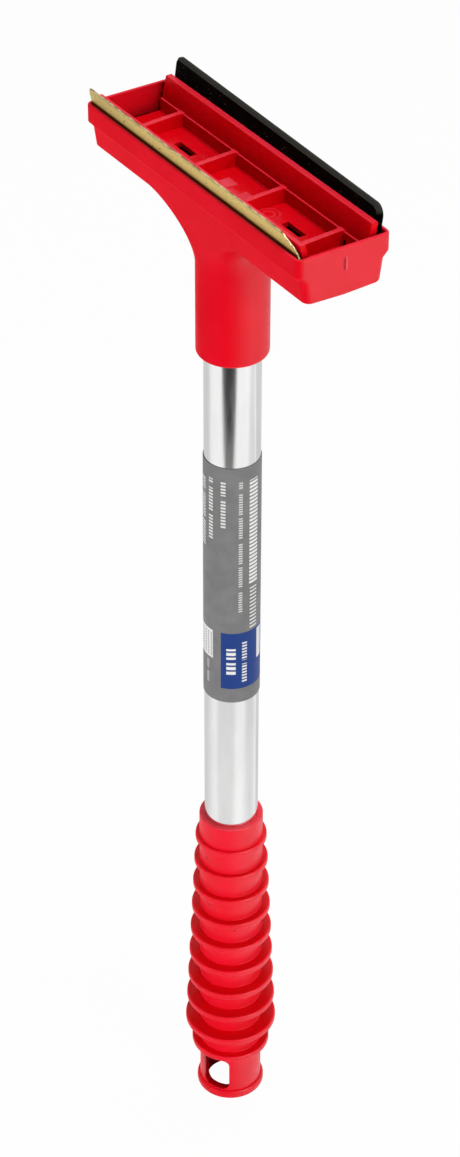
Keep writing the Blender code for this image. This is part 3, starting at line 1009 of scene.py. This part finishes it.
# %% [markdown]
# ## The ribbed grip
# The grip is one moulding: a collar, nine thin round ribs that grow towards the end, a
# shoulder rib, and a neck with a window for hanging. Everything but the window is round,
# so the whole profile is spun at once. The window is cut straight through the neck.

# %% Grip
grip_length, core_radius, rib_half = 111.5, 9.6, 1.05
shoulder_place, shoulder_radius, collar_height, rib_count = 18.9, 12.1, 9.0, 9
low_rib_radius, high_rib_radius = 14.1, 10.8
flange_radius, flange_height, neck_bore, neck_bore_top = 10.5, 3.0, 7.3, 18.45
mouth_radius, mouth_depth, mouth_slope = 8.04, 3.0, 0.3
rib_pitch = (grip_length - collar_height - shoulder_place) / rib_count


def grip_rib(height, radius):
    """Profile corners of one thin rib."""
    return [(core_radius, height - rib_half, 0.15), (radius, height - rib_half, 0.55),
            (radius, height + rib_half, 0.55), (core_radius, height + rib_half, 0.15)]


grip_profile = [(neck_bore, 0, 0.2), (flange_radius, 0, 1.0),
                (flange_radius, flange_height, 1.0), (core_radius, flange_height, 0.3)]
grip_profile += grip_rib(shoulder_place, shoulder_radius)
for index in range(rib_count):
    share = index / (rib_count - 1)
    grip_profile += grip_rib(shoulder_place + rib_pitch * (index + 1),
                             low_rib_radius + (high_rib_radius - low_rib_radius) * share)
grip_profile += [(core_radius, grip_length, 0.6), (mouth_radius, grip_length, 0.1),
                 (mouth_radius, grip_length - mouth_depth, 0),
                 (bore_radius, grip_length - mouth_depth - mouth_slope, 0),
                 (bore_radius, neck_bore_top, 0), (neck_bore, neck_bore_top, 0)]
grip_shape = spun(rounded_outline(grip_profile, 5))
print("grip rib pitch", round(rib_pitch, 2), "mm")

# %% Grip's window
window_half, window_low, window_high, window_corner = 4.6, 3.5, 15.75, 2.2
window_turn, window_reach = 26, 12
window_outline = [(x, z, window_corner) for x, z in
                  ((-window_half, window_low), (window_half, window_low),
                   (window_half, window_high), (-window_half, window_high))]
window_tool = moved(rounded_outline(window_outline, 8), 0, -window_reach, 0)
window_tool = turned(pushed(window_tool, (0, 2 * window_reach, 0)), window_turn, "Z")
grip_shape = combined(grip_shape, window_tool, "DIFFERENCE")
finish_piece("grip", grip_shape, grip_red, "ribbed_grip")

# %% [markdown]
# ## Floor and backdrop
# The photograph has a plain white ground and very even light. The floor and the world
# are white to the camera and to mirrors through Light Path, while the light that they
# send to the scraper stays at a plain level. Only for mirror rays, the far floor and
# the low sky are dimmed in three soft waves, so that the tube reads as metal from every
# side.

# %% Floor
wave_count, wave_start, wave_swing, wave_mean = 3.0, 1.0, 0.20, 0.34
floor_radius, floor_drop = 6, 0.0002
mirrored_floor = 0.97


def seen_directly(owner, share):
    """1 times a share for camera, mirror and glass rays, and 0 for the rest."""
    path = add_node(owner, "LightPath")
    seen = path.outputs["Is Camera Ray"]
    for name in ("Is Glossy Ray", "Is Transmission Ray"):
        seen = maths("MAXIMUM", seen, path.outputs[name])
    return product(seen, share)


def mirrored_white(parts, lowness):
    """1, less what a low mirror ray loses in soft waves round the horizon."""
    turn = maths("ARCTAN2", parts["Y"], parts["X"])
    wave = maths("SINE", maths("MULTIPLY_ADD", turn, wave_count, wave_start))
    lost = product(maths("MULTIPLY_ADD", wave, wave_swing, wave_mean), lowness)
    return rest(product(lost, add_node(lowness, "LightPath").outputs["Is Glossy Ray"]))


def flat_disc(name, radius, segments, finish):
    """Flat round sheet of the studio."""
    bm = bmesh.new()
    bmesh.ops.create_circle(bm, cap_ends=True, segments=segments, radius=radius)
    return shape_object(name, bm, finish)


ground = bpy.data.materials.new("white_ground")
ground.use_nodes = True
ground.node_tree.nodes.clear()
ground_out = add_node(ground, "OutputMaterial")
ground_mix = add_node(ground, "MixShader")
ground_matt = add_node(ground, "BsdfDiffuse")
feed((0.80, 0.80, 0.80), ground_matt.inputs["Color"])
ground_glow = add_node(ground, "Emission")
feed((1, 1, 1), ground_glow.inputs["Color"])

floor_way = place(ground)
far_away = ramp(length(floor_way), 1.3, 2.2)
floor_white = mirrored_white(split(floor_way), far_away)
floor_seen = seen_directly(ground, mirrored_floor)
feed(floor_white, ground_glow.inputs["Strength"])
feed(floor_seen, ground_mix.inputs["Fac"])
feed(ground_matt.outputs["BSDF"], ground_mix.inputs[1])
feed(ground_glow.outputs["Emission"], ground_mix.inputs[2])
feed(ground_mix.outputs["Shader"], ground_out.inputs["Surface"])

floor = flat_disc("floor", floor_radius, 64, ground)
floor.location.z = -floor_drop
floor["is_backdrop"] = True
print("floor is", 2 * floor_radius, "m across")

# %% World
low_sky_light, high_sky_light = 0.40, 0.15

world = bpy.data.worlds.new("studio")
bpy.context.scene.world = world
world.use_nodes = True
sky = world.node_tree.nodes["Background"]
feed((1, 1, 1), sky.inputs["Color"])
sky_parts = split(add_node(world, "TexCoord").outputs["Generated"])
sky_light = ramp(sky_parts["Z"], 0.1, 0.8, low_sky_light, high_sky_light, "LINEAR")
low_down = ramp(sky_parts["Z"], 0.25, 0.50, 1.0, 0.0)
sky_white = mirrored_white(sky_parts, low_down)
strength = ramp(seen_directly(world, 1.0), 0.0, 1.0, sky_light, sky_white, "LINEAR")
feed(strength, sky.inputs["Strength"])
print("sky lights at", low_sky_light, "low and", high_sky_light, "high")

# %% [markdown]
# ## Lamps
# One lamp above reaches the bottom of the tray. Two on the right give the pale sheen on
# the head's right end and on the ribs, one large one in front lights the blade's side
# without showing in the tube, and a weak pinkish one lifts the rear edges.

# %% Lamps


def soft_lamp(name, position, aim, size, power):
    """Square area lamp that faces a point, in metres and watts."""
    data = bpy.data.lights.new(name, "AREA")
    data.size = size
    data.energy = power
    lamp = in_scene(name, data)
    lamp.location = position
    way = Vector(aim) - Vector(position)
    lamp.rotation_euler = way.to_track_quat("-Z", "Y").to_euler()
    print(name, power, "W")
    return lamp


soft_lamp("overhead", (-0.03, 0.16, 1.6), (0, 0, 0.25), 0.40, 9.6)
soft_lamp("right_side", (0.92, 0.14, 0.62), (0, 0, 0.2), 0.6, 4.9)
soft_lamp("low_right", (1.0, 0.3, 0.10), (0, 0, 0.15), 0.5, 1.9)
front_lamp = soft_lamp("front_side", (-0.1, -1.2, 0.15), (0, 0, 0.2), 0.8, 11.5)
front_lamp.visible_glossy = False
rim_lamp = soft_lamp("rim_lamp", (-0.42, 0.27, 0.69), (0, 0, 0.33), 0.3, 0.35)
rim_lamp.data.color = (1.0, 0.80, 0.92)

# %% [markdown]
# ## Cards for the mirrors
# Bright metal shows what stands round it, and the photographed tube mirrors soft shades
# and one dark streak. Soft-edged discs lie on the floor where the mirror rays of the
# tube and the blade land, most darker than the floor and one brighter. Only mirror
# rays see them: they cast no shadow and light nothing matt.

# %% Mirror cards
first_card_height, card_step = 0.001, 0.0001
cards = (
    # name, glow, turn from the camera's side, distance, half sizes, start of the edge
    ("far_card", 0.68, 180, 0.92, 1.30, 1.00, 0.80),
    ("near_card", 0.80, -24, 0.18, 0.17, 0.10, 0.5),
    ("side_card", 0.76, 86, 0.30, 0.15, 0.24, 0.5),
    ("blade_card", 0.85, -105, 0.92, 0.34, 0.26, 0.5),
    ("right_card", 1.6, 57, 0.79, 0.26, 0.36, 0.5),
    ("dark_card", 0.04, -12.5, 0.72, 0.46, 0.41, 0.86),
)


def card_finish(name, glow, hard):
    """Glow that fades into the mirrored floor towards the disc's edge."""
    finish = new_finish(name, 0.5, specular=0.0)
    fade = ramp(length(place(finish)), hard, 1.0, glow, mirrored_floor)
    dress(finish, Base_Color=(0, 0, 0), Emission_Color=(1, 1, 1), Emission_Strength=fade)
    return finish


for index, (name, glow, turn, distance, half_width, half_depth, hard) in enumerate(cards):
    card = flat_disc(name, 1, 96, card_finish(name, glow, hard))
    angle = camera_turn - math.pi / 2 + math.radians(turn)
    card.scale = (half_depth, half_width, 1)
    card.rotation_euler.z = angle
    card.location = (distance * math.cos(angle), distance * math.sin(angle),
                     first_card_height + card_step * index)
    card.visible_camera = card.visible_shadow = card.visible_diffuse = False
    card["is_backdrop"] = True
    print(name, "glows at", glow)

# %% [markdown]
# ## Colours as they are written
# The Standard view transform shows a colour as it was written, so the red and the brass
# come out as given above. The last cell prints the size of this model's box.

# %% Finish
bpy.context.scene.view_settings.view_transform = "Standard"
low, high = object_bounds()
print("visual box in mm:", [round(1000 * side, 2) for side in high - low])
